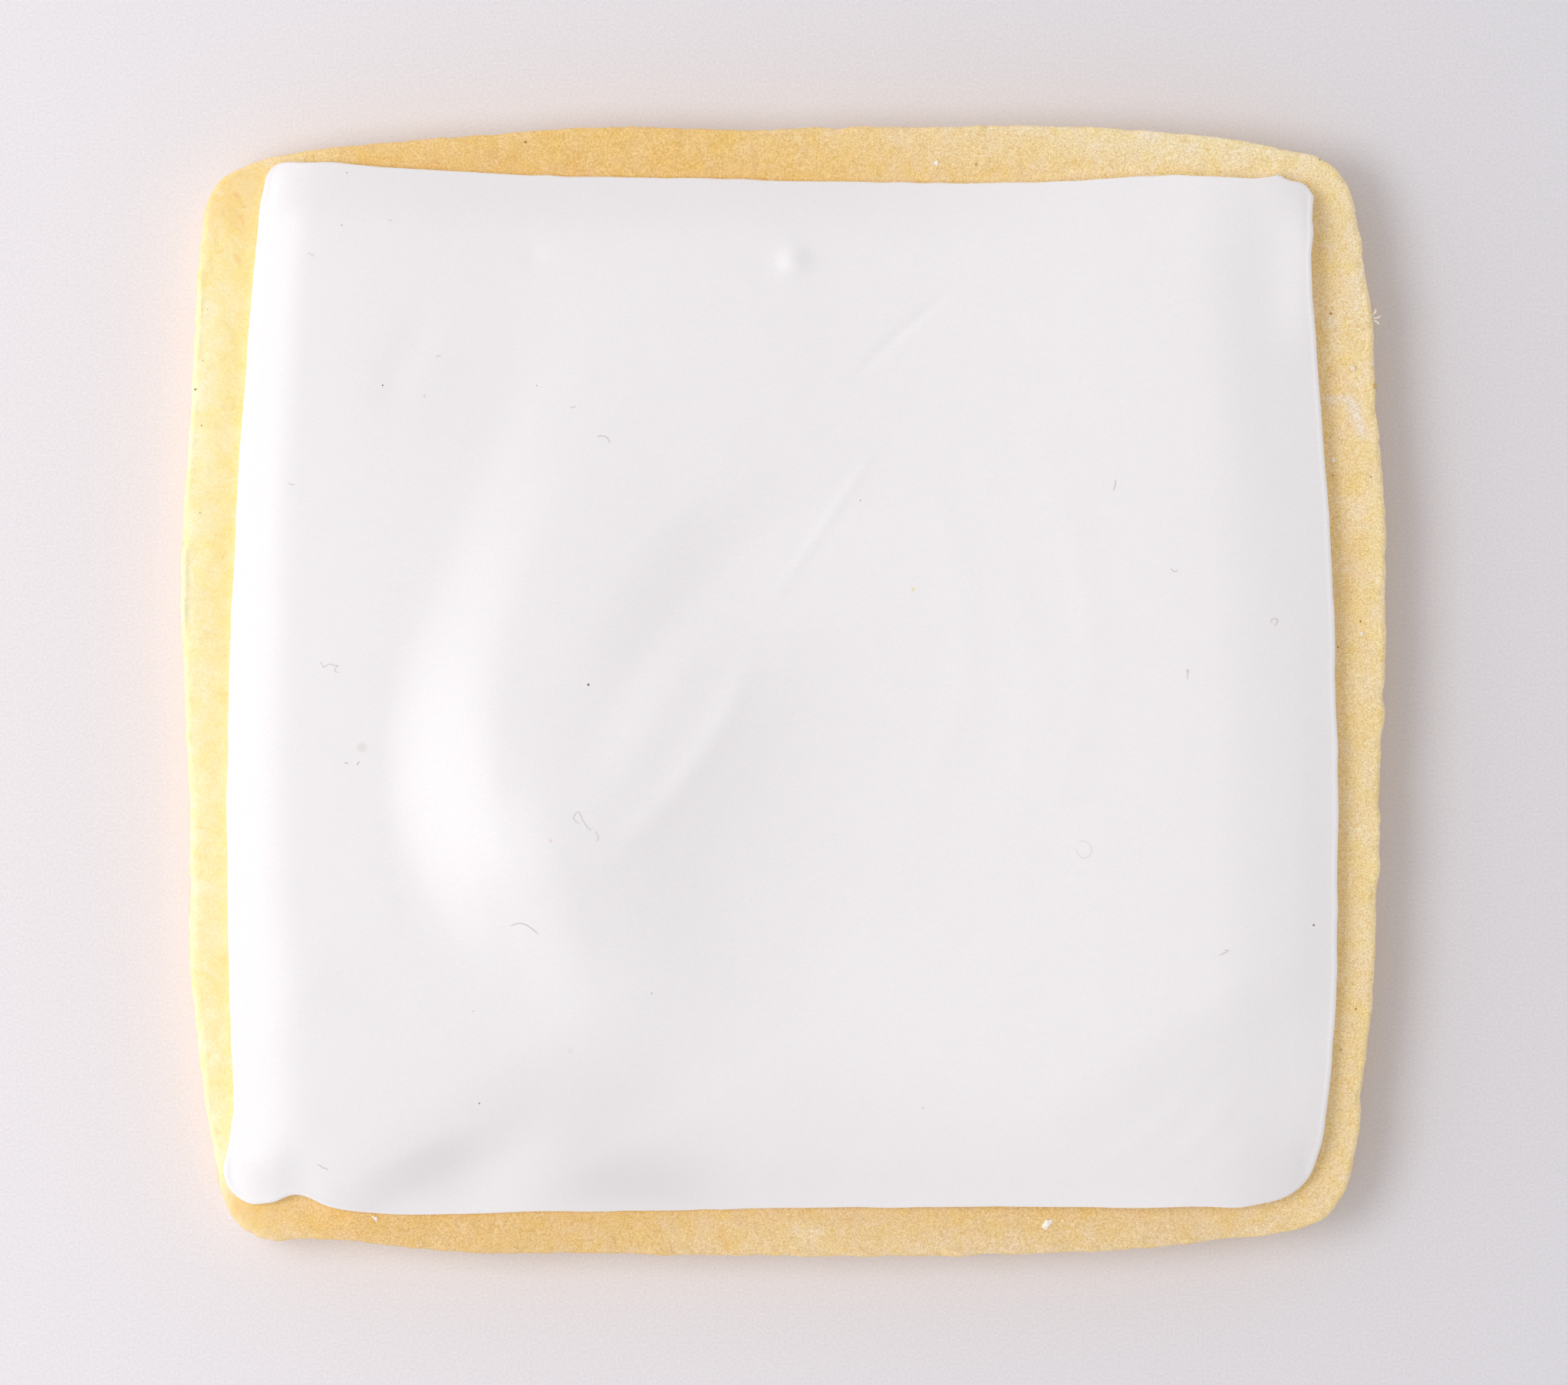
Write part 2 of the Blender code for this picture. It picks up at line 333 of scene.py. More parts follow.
def makeTable():
    # a wide disc of pale card, which turns clear far out
    turn = np.linspace(0, 2 * pi, table["sides"], endpoint=False)
    points = np.stack([np.cos(turn), np.sin(turn), 0 * turn], axis=1) * table["radius"] * mm
    mesh = bpy.data.meshes.new("table")
    mesh.from_pydata(points, [], [tuple(range(table["sides"]))])
    material, tree, shader = newMaterial("pale card", table["left"], table["roughness"])
    where = addNode(tree, "TexCoord").outputs["Object"]
    beside = table["beside"] * mm
    # painted light: the card's colour runs from the lighter left to the darker right
    share = remap(tree, axisValue(tree, where, "X"), -beside, beside, smooth=False)
    tooth = noise(tree, where, table["grain"] * mm, 2.0, 0.6)
    tooth = remap(tree, tooth, *noiseSpan, *table["tooth"], smooth=False)
    card = brighten(tree, mixColour(tree, share, table["left"], table["right"]), tooth)
    tree.links.new(card, shader.inputs["Base Color"])
    away = addNode(tree, "VectorMath", {0: where}, operation="LENGTH").outputs["Value"]
    fade = remap(tree, away, *(value * mm for value in table["fade"]))
    clear = addNode(tree, "BsdfTransparent")
    blend = addNode(tree, "MixShader", {0: fade, 1: shader.outputs[0], 2: clear.outputs[0]})
    tree.links.new(blend.outputs[0], tree.nodes["Material Output"].inputs["Surface"])
    mesh.materials.append(material)
    placeObject("table", mesh)


def roughen(tree, shader, height, strength, depth):
    # a bump as deep as depth in millimetres
    bump = addNode(tree, "Bump", {"Height": height, "Strength": strength, "Distance": depth * mm})
    tree.links.new(bump.outputs[0], shader.inputs["Normal"])


def newMaterial(name, colour, roughness, specular=0.1):
    material = bpy.data.materials.new(name)
    material.use_nodes = True
    shader = material.node_tree.nodes["Principled BSDF"]
    shader.inputs["Base Color"].default_value = (*colour, 1)
    shader.inputs["Roughness"].default_value = roughness
    shader.inputs["Specular IOR Level"].default_value = specular
    return material, material.node_tree, shader


makeCamera()
makeLight()
makeTable()
print("camera, light and table placed")


# Shared effects

doughGrain = {
    "scale": 11000.0,  # blots for each metre
    "coarse": 0.4,  # the coarser grain's share of that scale, and its part in the height
    "coarsePart": 0.3,
    "span": (0.34, 0.66),  # the heights between which the tint runs
}


def newGroup(name, inputs, outputs):
    # an empty node group: its tree, its inputs' sockets and its output node
    tree = bpy.data.node_groups.new(name, "ShaderNodeTree")
    tree.interface.new_socket("Vector", in_out="INPUT", socket_type="NodeSocketVector")
    for socket, value in inputs.items():
        tree.interface.new_socket(socket, in_out="INPUT", socket_type="NodeSocketFloat").default_value = value
    for socket in outputs:
        tree.interface.new_socket(socket, in_out="OUTPUT", socket_type="NodeSocketFloat")
    return tree, tree.nodes.new("NodeGroupInput").outputs, tree.nodes.new("NodeGroupOutput")


def crumbGrainGroup():
    # the sandy grain of baked dough: Height for a bump, and Tint, from 0 in its gaps to 1 on its grains
    tree, given, result = newGroup("crumb grain", {"Scale": doughGrain["scale"]}, ["Height", "Tint"])
    where, scale = given["Vector"], given["Scale"]
    fine = noise(tree, where, scale, 1.0, 0.6, 0.5)
    coarse = noise(tree, where, maths(tree, "MULTIPLY", scale, doughGrain["coarse"]), 2.0, 0.5, 0.4)
    part = doughGrain["coarsePart"]
    height = maths(tree, "MULTIPLY_ADD", coarse, part, maths(tree, "MULTIPLY", fine, 1 - part))
    tree.links.new(height, result.inputs["Height"])
    tree.links.new(remap(tree, height, *doughGrain["span"], smooth=False), result.inputs["Tint"])
    return tree


def scatteredSpotsGroup():
    # small round marks in some cells of a lattice: Radius is in cells, Share is how many cells have one
    inputs = {"Scale": 800.0, "Radius": 0.1, "Share": 0.3}
    tree, given, result = newGroup("scattered spots", inputs, ["Mask"])
    # each is 0.4 to 1.1 of the radius, and fades out over its outer half
    cells = addNode(tree, "TexVoronoi", {"Vector": given["Vector"], "Scale": given["Scale"]})
    draw = addNode(tree, "SeparateColor", {0: cells.outputs["Color"]})
    chosen = maths(tree, "LESS_THAN", draw.outputs[0], given["Share"])
    size = maths(tree, "MULTIPLY", given["Radius"], maths(tree, "MULTIPLY_ADD", draw.outputs[1], 0.7, 0.4))
    inside = remap(tree, maths(tree, "DIVIDE", cells.outputs["Distance"], size), 1.0, 0.5)
    tree.links.new(maths(tree, "MULTIPLY", inside, chosen), result.inputs["Mask"])
    return tree


def useGroup(tree, group, **values):
    # the group placed in a material; its outputs by name
    return addNode(tree, "Group", values, node_tree=group).outputs


crumbGrain = crumbGrainGroup()
scatteredSpots = scatteredSpotsGroup()


# Biscuit

# colours that several smears share
pale = (0.95, 0.84, 0.7)
toasted = (0.8, 0.5, 0.2)

biscuit = {
    "spokes": 1500,
    "topEdge": 0.4,  # radius of the upper edge, and of the lower one
    "footEdge": 0.25,
    "coreInsets": (10, 8, 6.5, 5.6),  # coarse rings under the icing
    "rimWidth": 5.0,  # how far in from the outline the fine rings reach
    "rimRings": 20,
    "edgeRings": 6,
    "wallRings": 15,
    "footRings": 3,
    "baseInsets": (0.7, 1.1, 1.6, 2.3, 3.2, 4.5, 6.5, 9.5, 14, 20),
    "halfWidth": 38.0,
    "shrinkFrom": (1.5, 3.5),  # rings shrink about the middle from this far in, over this distance
    # how far the surface moves: height, cell and seed of its swell, lumps and grains
    "waves": ((0.06, 6.0, 11), (0.035, 0.9, 12), (0.02, 0.42, 13)),
    "pits": (0.09, 0.55, 14, 0.62),  # depth, cell, seed, and the noise above which they begin
    "sideWaves": ((0.09, 1.7, 15), (0.05, 0.6, 16)),  # the side's lumps are larger, its crumb more open
    "sidePits": (0.16, 0.75, 17, 0.5),
    # the left rim's droop at the outline, and from where and over what distance it grows to the left and up
    "droop": 0.22,
    "droopLeft": (30.0, 6.0),
    "droopUp": (1.0, 3.0),
    # colours along the outline and at innerDepth in from it
    "innerDepth": 2.8,
    # the left's pale colours: partly the dough's own, partly painted highlight where the lamp is strongest
    "left": ((0.96, 0.91, 0.56), (0.95, 0.82, 0.4)),
    "right": ((0.97, 0.8, 0.45), (0.98, 0.745, 0.375)),
    "topLeft": ((0.87, 0.6, 0.235), (0.87, 0.585, 0.22)),
    "topRight": ((0.94, 0.81, 0.51), (0.93, 0.74, 0.4)),
    "bottomLeft": ((0.83, 0.58, 0.26), (0.84, 0.56, 0.22)),
    "bottomRight": ((0.86, 0.66, 0.36), (0.85, 0.61, 0.285)),
    "cornerBlend": 0.12,  # radians to each side of a corner over which the colours change
    "topBlend": (-5.0, 30.0),  # left gives way to right from this x, over this distance
    "bottomBlend": (-22.0, 24.0),
    # smears: from x, y to x, y, half width, strength, colour
    "smears": (
        (37.2, 19.4, 37.9, 18.9, 0.42, 0.85, pale), (37.9, 18.9, 38.5, 17, 0.4, 0.8, pale),
        (36.1, 19.5, 36.6, 19.2, 0.35, 0.5, pale),
        (-36, -34.2, -29.5, -35.2, 1.5, 0.55, (0.9, 0.57, 0.2)),  # the lower left is browner
        (-36.9, 33.6, -35.9, 30.5, 0.8, 0.35, (0.93, 0.68, 0.27)),
        (36.5, 21.1, 36.5, 21, 0.3, 0.5, (0.8, 0.58, 0.33)),
        (37.8, 9.6, 37.6, 6.4, 0.5, 0.3, (0.84, 0.6, 0.34)),
        (37.5, 12.4, 38.2, 12, 0.6, 0.3, (0.97, 0.84, 0.56)),
        (36.7, 22.9, 36.5, 24.6, 0.5, 0.35, (0.97, 0.87, 0.68)),
        (-19.4, 35.6, -19, 35.4, 0.4, 0.5, toasted),
        (-18.2, 35.3, -17.9, 35.5, 0.3, 0.45, toasted),
        (-23.2, 34.9, -22.8, 34.9, 0.4, 0.4, (0.82, 0.5, 0.2)),
        (-13.8, 35.6, -13.7, 34.6, 0.35, 0.4, toasted),
        (-36.4, 31.6, -36.6, 30.8, 0.3, 0.3, (0.9, 0.62, 0.24)),
        (-4, -36, -3.7, -37, 0.3, 0.4, toasted), (4.9, -34.2, 4.3, -35.2, 0.25, 0.4, toasted),
        (1.2, -35.9, 2.2, -36.1, 0.6, 0.3, (0.96, 0.84, 0.6)),
        (38.6, -19, 36.6, -33.5, 1.1, 0.4, (0.92, 0.68, 0.33)),
        (-38.6, 28, -38.2, 32.5, 1.6, 0.5, (0.94, 0.74, 0.31)),
        (-38.2, 32.5, -35.6, 35.6, 1.8, 0.6, (0.94, 0.69, 0.28)),
        (-17, -36.4, -9, -36.3, 2.2, 0.3, (0.8, 0.54, 0.22)),
        (39, 3, 39.2, -8, 1, 0.3, (0.93, 0.72, 0.36)), (38, 31, 38.6, 25, 1.2, 0.35, (0.98, 0.86, 0.62)),
        (-36.3, 28.9, -36.1, 28.5, 0.15, 0.45, (0.88, 0.46, 0.13)),
        (-36, 31.6, -35.9, 31.1, 0.15, 0.4, (0.88, 0.48, 0.15)),
        (-36.4, 33, -36.2, 32.8, 0.16, 0.5, (0.86, 0.5, 0.16)),
        (-37.5, 33.1, -37.4, 33, 0.16, 0.6, (0.99, 0.93, 0.78)),
    ),
    "sideColour": (0.9, 0.68, 0.4),
    "sideFrom": (0.3, 0.8),  # it begins this far below the top, and is full this much lower
    "plain": (0.84, 0.545, 0.2),  # its colour where nothing tints it
    "blotSize": 1.5,
    # what multiplies the baked colour: blots from one to the other, and the grain's gaps and grains
    "blotTints": ((1.0, 1.03, 1.2), (0.99, 0.97, 0.8)),
    "gapTints": ((0.86, 0.74, 0.56), (0.99, 0.9, 0.76)),  # in general, and on the left
    "grainTints": ((1.14, 1.22, 1.42), (1.03, 1.05, 1.16)),
    "leftFrom": (-31, -36),  # the tints of the left take over between these
    "stainSize": 0.8,
    "stainSpan": (0.58, 0.75),  # the noise from which stains begin, and where they are full
    "stainTint": (0.88, 0.72, 0.5),
    "stainStrength": 0.3,
    # pale flecks and dark pores: cells per metre, radius in cells, share of cells, strength, colour
    "spots": ((1300.0, 0.2, 0.25, 0.3, (0.98, 0.88, 0.66)), (800.0, 0.09, 0.06, 0.6, (0.4, 0.2, 0.06))),
    # the underside has browned up to about this height, in patches that shift its edge
    "brown": (0.47, 0.22, 0.065),
    "brownStrength": 0.55,
    "brownHeight": (0.35, 0.15),
    "patchSize": 5.0,
    "patchRise": 0.3,
    "roughness": 0.85,
    "bump": (0.5, 0.08),  # strength, and depth
}


def biscuitTop(edge):
    # height of the biscuit's top at a distance in from its outline: flat, then an arc down
    radius = biscuit["topEdge"]
    short = np.clip(radius - edge, 0, radius)
    return biscuitHeight - radius + np.sqrt(radius**2 - short**2)


def biscuitSurface(points):
    # height of the biscuit's top at some places, without its grain
    return biscuitTop(ringDistance(points, biscuitRing))


def pitDepth(points, depth, cell, seed, start):
    # depth x (noise - start) / (1 - start) where the smooth noise is over the start
    return depth * np.clip(softNoise(points, cell, seed) - start, 0, 1) / (1 - start)


def waveHeight(points, waves):
    # height x smooth noise, all added
    return sum(height * softNoise(points, cell, seed) for height, cell, seed in waves)


def gridNormals(points):
    # outward normals of a table of rings: the cross product of its two directions
    down = np.gradient(points, axis=0)
    along = np.roll(points, -1, axis=1) - np.roll(points, 1, axis=1)
    normal = np.cross(down, along)
    return normal / np.maximum(np.linalg.norm(normal, axis=2, keepdims=True), 1e-9)


def makeBiscuit(material):
    # a profile of inset and height, from the top's middle to the underside's, taken round the outline
    ring = smoothRing(biscuitOutline, biscuit["spokes"])
    outward = ringOutward(ring)
    top, foot = biscuit["topEdge"], biscuit["footEdge"]
    core = np.array(biscuit["coreInsets"])
    flat = np.linspace(biscuit["rimWidth"], top, biscuit["rimRings"])
    over = np.linspace(0, pi / 2, biscuit["edgeRings"] + 1)[1:]
    under = np.linspace(0, pi / 2, biscuit["footRings"] + 1)[1:]
    down = np.linspace(biscuitHeight - top, foot, biscuit["wallRings"] + 1)[1:]
    base = np.array(biscuit["baseInsets"])
    inset = [core, flat, top - top * np.sin(over), 0 * down, foot - foot * np.cos(under), base]
    level = [np.full(len(core) + len(flat), biscuitHeight), biscuitHeight - top + top * np.cos(over), down,
             foot - foot * np.sin(under), 0 * base]
    inset, level = np.concatenate(inset), np.concatenate(level)
    rings = ring[None] - inset[:, None, None] * outward[None]
    # far in, and on the base, the rings shrink about the middle instead, so they never cross
    far = ramp(inset, *biscuit["shrinkFrom"])
    far[-len(base) :] = 1.0
    far = far[:, None, None]
    shrunk = ring[None] * (1 - inset / biscuit["halfWidth"])[:, None, None]
    rings = rings * (1 - far) + shrunk * far
    points = np.concatenate([rings, np.repeat(level[:, None], len(ring), axis=1)[..., None]], axis=2)

    # the baked surface moves along its normal, but not on its base nor under the icing
    place, shape = points.reshape(-1, 3), (len(inset), len(ring))
    flatBase = (level <= 0.0)[:, None]
    hidden = (inset > biscuit["rimWidth"])[:, None]
    side = ((inset < top) & (level > 0.0) & (level < biscuitHeight))[:, None]
    move = (waveHeight(place, biscuit["waves"]) - pitDepth(place, *biscuit["pits"])).reshape(shape)
    cut = waveHeight(place, biscuit["sideWaves"]) - pitDepth(place, *biscuit["sidePits"])
    move = np.where(flatBase | hidden, 0.0, move + side * cut.reshape(shape))
    points = points + gridNormals(points) * move[..., None]
    points[..., 2] = np.where(flatBase, 0.0, np.maximum(points[..., 2], 0.0))
    # droop = depth x (1 - inset / inner depth) squared x ramps to the left and upwards
    droop = biscuit["droop"] * (1 - ramp(inset, 0, biscuit["innerDepth"]))[:, None] ** 2
    droop = droop * ramp(-ring[:, 0], *biscuit["droopLeft"])
    points[..., 2] -= droop * ramp(points[..., 2], *biscuit["droopUp"])
    points = points.reshape(-1, 3)

    faces = closedFaces(np.arange(len(points)).reshape(shape))
    piece = meshPiece("bakedBiscuit", points, faces, material, "biscuit", "biscuit")
    # a colour for each of its points, which its material reads by name
    colours = np.column_stack([bakedColours(points, np.repeat(inset, len(ring))), np.ones(len(points))])
    baked = piece.data.attributes.new("baked", "FLOAT_COLOR", "POINT")
    baked.data.foreach_set("color", colours.astype(np.float32).ravel())


def strokeShare(points, x, y, endX, endY, width):
    # exp(-(distance / half width) squared) from the stroke between two places, on the upper half
    start, step = np.array([x, y]), np.array([endX - x, endY - y])
    along = np.clip((points[:, :2] - start) @ step / max(step @ step, 1e-9), 0, 1)
    away = np.linalg.norm(points[:, :2] - start - along[:, None] * step, axis=1)
    return np.exp(-((away / width) ** 2)) * (points[:, 2] > biscuitHeight / 2)


def bakedColours(points, inset):
    # the colour of the dough by side, blended round the corners and from the outline inwards
    x, y = points[:, 0], points[:, 1]
    blend = biscuit["cornerBlend"]
    turn = np.arctan2(y, x)
    upper, lower = (ramp(pi / 4 + blend - np.abs(turn - way), 0, 2 * blend) for way in (pi / 2, -pi / 2))
    beside = 1 - upper - lower
    topRight, lowRight = ramp(x, *biscuit["topBlend"]), ramp(x, *biscuit["bottomBlend"])
    inner = ramp(inset, 0, biscuit["innerDepth"])[:, None]
    shares = {"left": beside * (x < 0), "right": beside * (x >= 0),
              "topLeft": upper * (1 - topRight), "topRight": upper * topRight,
              "bottomLeft": lower * (1 - lowRight), "bottomRight": lower * lowRight}
    total = 0
    for name, share in shares.items():
        outer, deeper = np.array(biscuit[name])
        total = total + share[:, None] * (outer * (1 - inner) + deeper * inner)
    side = ramp(biscuitHeight - points[:, 2], *biscuit["sideFrom"])[:, None]
    total = total * (1 - side) + np.array(biscuit["sideColour"]) * side
    for *stroke, strength, colour in biscuit["smears"]:
        share = strength * strokeShare(points, *stroke)[:, None]
        total = total * (1 - share) + np.array(colour) * share
    return total


def biscuitMaterial():
    material, tree, shader = newMaterial("baked biscuit crumb", biscuit["plain"], biscuit["roughness"], 0.2)
    where = addNode(tree, "TexCoord").outputs["Object"]
    baked = addNode(tree, "Attribute", attribute_name="baked").outputs["Color"]
    grain = useGroup(tree, crumbGrain, Vector=where)
    blots = remap(tree, noise(tree, where, biscuit["blotSize"] * mm, 3.0, 0.6, 0.6), *noiseSpan, smooth=False)
    stains = noise(tree, where, biscuit["stainSize"] * mm, 2.0, 0.6, 0.8)
    stains = remap(tree, stains, *biscuit["stainSpan"], 0.0, biscuit["stainStrength"])
    colour = mixColour(tree, 1.0, baked, mixColour(tree, blots, *biscuit["blotTints"]), "MULTIPLY")
    # the light is so strong on the left that only the grain's colour shows
    leftness = remap(tree, axisValue(tree, where, "X"), *(x * mm for x in biscuit["leftFrom"]))
    tints = [mixColour(tree, leftness, *biscuit[name]) for name in ("gapTints", "grainTints")]
    colour = mixColour(tree, 1.0, colour, mixColour(tree, grain["Tint"], *tints), "MULTIPLY")
    colour = mixColour(tree, stains, colour, mixColour(tree, 1.0, colour, biscuit["stainTint"], "MULTIPLY"))
    for scale, radius, share, strength, spot in biscuit["spots"]:
        mask = useGroup(tree, scatteredSpots, Vector=where, Scale=scale, Radius=radius, Share=share)["Mask"]
        colour = mixColour(tree, maths(tree, "MULTIPLY", mask, strength), colour, spot)
    patches = noise(tree, where, biscuit["patchSize"] * mm, 4.0, 0.6, 0.3)
    height = maths(tree, "MULTIPLY_ADD", patches, biscuit["patchRise"] * mm, axisValue(tree, where, "Z"))
    tray = remap(tree, height, *(z * mm for z in biscuit["brownHeight"]))
    tray = maths(tree, "MULTIPLY", tray, biscuit["brownStrength"])
    colour = mixColour(tree, tray, colour, biscuit["brown"])
    tree.links.new(colour, shader.inputs["Base Color"])
    roughen(tree, shader, grain["Height"], *biscuit["bump"])
    return material


# Icing

icing = {
    "side": 300,  # cells along each side of the top's grid
    "crowding": 1.45,  # over 1 draws the rings towards the edge
    "fade": 24,  # power with which its edge's wander dies away inwards
    "thickness": 1.9,
    "least": 0.3,
    "sharpness": 5.0,  # the higher, the later its height turns to the least
    "lip": 0.12,  # radius of its whole edge
    # how each side falls away: depth, reach, the reach's change per millimetre up, power
    "sinks": {"left": (1.05, 4.7, -0.025, 2.6), "right": (0.8, 8.0, 0, 2.0),
              "top": (1.05, 4.0, 0, 2.0), "bottom": (0.75, 4.0, 0, 2.0)},
    "wall": ((-0.02, 0.6), (0.02, 0.25)),  # down its wall: how far in, and share of the height
    "foot": 0.18,  # how deep the foot is set in the biscuit
    "footInsets": (0.15, 1.2, 3.0),
    # faint unevenness of the surface and of the edge: size, cell and seed
    "waves": ((0.008, 3.5, 20), (0.003, 1.2, 20)),
    "edgeWaves": ((0.06, 4.0, 30), (0.03, 1.3, 30)),
    # nicks and tips of the edge: x, y, radius, how far it stands out
    "tips": (
        (32.8, 34.1, 0.26, 0.15), (33.8, 34, 0.7, -0.15), (35.2, 32.7, 0.3, 0.1), (35.2, 31.2, 0.5, -0.08),
    ),
    "rimLine": (0.2, 0.11, 0.035),  # a very low rim along the edge: how far in, half width, height
    "colour": (0.86, 0.845, 0.852),
    "roughness": 0.4,
    "bump": (0.12, 0.03),  # strength, and depth
    "crystals": (0.16, 0.02),  # size, and how much they change the colour
    "clouds": (2.5, 0.004),
    "paintedLightRight": (28.0, 1.04),  # painted light: brighter towards the right: how far, and by how much
    # painted shade: soft grey patches that darken it: x, y, half lengths, strength
    "paintedShades": (
        (-10, -29, 18, 5, 0.16), (14, -32, 20, 4, 0.12), (-14, 33.5, 14, 4, 0.14), (4, 34, 10, 3, 0.08),
        (-22, 22, 6, 9, 0.07), (33, -30, 6, 6, 0.1), (-8.6, -33, 6.5, 2.3, 0.36),
        (-23, -33, 3.5, 1.6, 0.15), (-22.3, -31, 3.2, 1.6, 0.22),
    ),
    "paintedShadeColour": (0.66, 0.63, 0.62),
    # soft round marks: x, y, radius, strength, colour
    "stains": (
        (-27.85, -3.73, 0.5, 0.2, (0.45, 0.34, 0.24)), (-14.05, -23.8, 0.3, 0.1, (0.5, 0.45, 0.4)),
        (8.6, 6.7, 0.2, 0.75, (0.84, 0.74, 0.28)), (-15.35, -9.9, 0.17, 0.4, (0.8, 0.38, 0.42)),
    ),
    # places where the surface climbs: x, y, the way up, half length, curve, width, rise, fall beyond
    "banks": (
        (-22.6, -5, 0, 9, 0.03, 8, 1.1, 12),  # the mound's steep left side
        (-20, -13.5, 30, 5, 0, 6.5, 0.6, 9), (-19.5, 9, -22, 8, 0.01, 6, 0.35, 10),
        (-17, 18, -35, 6, 0, 4, 0.1, 8),  # and its tail
        (-6.3, 9.3, -45, 8, 0.05, 5.5, -0.42, 6),  # the groove along the mound's top
        (-9.2, 0, -32, 7, 0.03, 4, 0.33, 8),
        (-3.6, -6, -36, 7.5, -0.01, 4.5, -0.17, 8),  # the mound's right side
        (-16.2, -14.5, 15, 6, 0, 5, 0.42, 8), (-7, -15.5, -20, 5, 0, 7, -0.25, 10),
        (16, 0, 0, 90, 0, 30, 0.85, 99),  # the icing is thicker on the right
        (33, 0, 0, 90, 0, 9, -0.2, 99), (30.8, 20, 8, 12, 0, 4, -0.12, 6),
        (31.5, -24, -35, 7, 0, 6, -0.2, 8), (-24, 0, 0, 90, 0, 18, -0.2, 99),
        (-25, 26, 0, 16, 0, 16, -0.2, 99),
        (-14, -26.5, -60, 15, 0, 9, -0.8, 99),  # the lower left dips in two folds
        (-24.2, -31.9, -66, 4.8, 0, 3.2, -1.15, 3.2),
        (28.6, -22.8, -60, 8, 0, 5, -0.55, 6),  # a shallow fold across the lower right
        (35.2, -12, 0, 14, 0, 3, -0.2, 99), (29, 34.5, 0, 3.5, 0, 10, 0.5, 99),
        (-16.2, -29.6, -32, 4, 0, 4, 0.15, 5), (-9.5, -32, -72, 5.5, 0, 4.5, -0.45, 4),
    ),
    # ridges, or grooves where the height is negative: x, y, the way across, half length, curve, width, height
    "ridges": (
        (-6, -5.2, -36, 7.5, -0.03, 1, 0.13),  # the drag line across the mound
        (35, 29, 0, 6, 0, 1.9, 0.46),  # the raised rim at the upper right
        (2.8, 11, -34, 6, 0, 0.3, 0.04),  # thin drag lines
        (7.8, 23.7, -48, 4, 0.02, 0.3, -0.05), (-24.9, 22, -25, 3.5, 0, 1.2, -0.06),
        (17, -1, 0, 9, -0.07, 2, 0.03),
        (12.2, 3.5, 0, 9, -0.05, 1.2, 0.025),  # faint rings left by the spreading
        (20.3, 3, 0, 12, -0.04, 1.2, 0.03), (24, -29.5, -52, 6, -0.06, 0.8, 0.03),
        (26.5, -30.5, -52, 6, -0.08, 0.7, 0.03), (29, -31.5, -52, 5, -0.1, 0.7, 0.02),
    ),
    # round bumps and dents: x, y, radius, height
    "bumps": (
        (0.7, 28.5, 0.9, 0.2), (-16.6, 28.8, 0.8, -0.05), (-31.6, -19.5, 3, 0.12), (36.2, 35.2, 3, -0.8),
        (-15.1, 7.3, 0.35, 0.02), (-2.5, -9.6, 0.45, 0.025),
    ),
}


def squareRings(calm, wander, side):
    # points that fill the outline: the rings of a square grid, each a smaller copy of the calm outline
    # point = calm x reach + wander x reach to the power of the fade; reach is 0 in the middle, 1 at the edge
    a, b = np.meshgrid(np.linspace(-1, 1, side + 1), np.linspace(-1, 1, side + 1), indexing="xy")
    size = np.maximum(np.abs(a), np.abs(b))
    safe = np.where(size > 0, size, 1.0)
    # which side each point is on, and how far along it
    right, top, left = a == size, b == size, a == -size
    sides = [right & ~top, top & ~left, left & (b > -size)]
    turn = np.select(sides, [b, -a, -b], a) / safe / 2 + 0.5 + np.select(sides, [0, 1, 2], 3)
    place = turn * side
    low = np.floor(place).astype(int)
    share = (place - low)[..., None]
    reach = (1 - (1 - size) ** icing["crowding"])[..., None]
    edge, extra = (ring[low % len(ring)] * (1 - share) + ring[(low + 1) % len(ring)] * share
                   for ring in (calm, wander))
    return (edge * reach + extra * reach ** icing["fade"]).reshape(-1, 2)


def bentFrame(points, x, y, turn, bend):
    # distance across the line through (x, y) that bends by bend x along squared / 2, and along it
    way = np.array([cos(radians(turn)), sin(radians(turn))])
    offset = points[:, :2] - (x, y)
    across = offset @ way
    along = offset @ np.array([-way[1], way[0]])
    return across - bend * along**2 / 2, along


def onFlat(points):
    # at height zero
    return np.column_stack([points[:, :2], np.zeros(len(points))])


def bumpHeight(points, bumps):
    # height x exp(-(distance / radius) squared), all added
    return sum(height * np.exp(-((points[:, 0] - x) ** 2 + (points[:, 1] - y) ** 2) / radius**2)
               for x, y, radius, height in bumps)


def edgeWander(ring):
    # how far the icing's edge stands out: smooth noise, and nicks and tips
    return waveHeight(onFlat(ring), icing["edgeWaves"]) + bumpHeight(ring, icing["tips"])


def icingRelief(points):
    # bank = rise x smooth step over its width x exp(-(past it / fall) squared - (along / length) squared)
    # ridge = height x exp(-(across / width) squared - (along / length) to the fourth)
    height = np.zeros(len(points))
    for x, y, turn, length, bend, width, rise, fall in icing["banks"]:
        across, along = bentFrame(points, x, y, turn, bend)
        past = np.maximum(across - width / 2, 0) / fall
        height += rise * ease(across / width + 0.5) * np.exp(-(past**2) - (along / length) ** 2)
    for x, y, turn, length, bend, width, rise in icing["ridges"]:
        across, along = bentFrame(points, x, y, turn, bend)
        height += rise * np.exp(-((across / width) ** 2) - (along / length) ** 4)
    return height + bumpHeight(points, icing["bumps"]) + waveHeight(onFlat(points), icing["waves"])


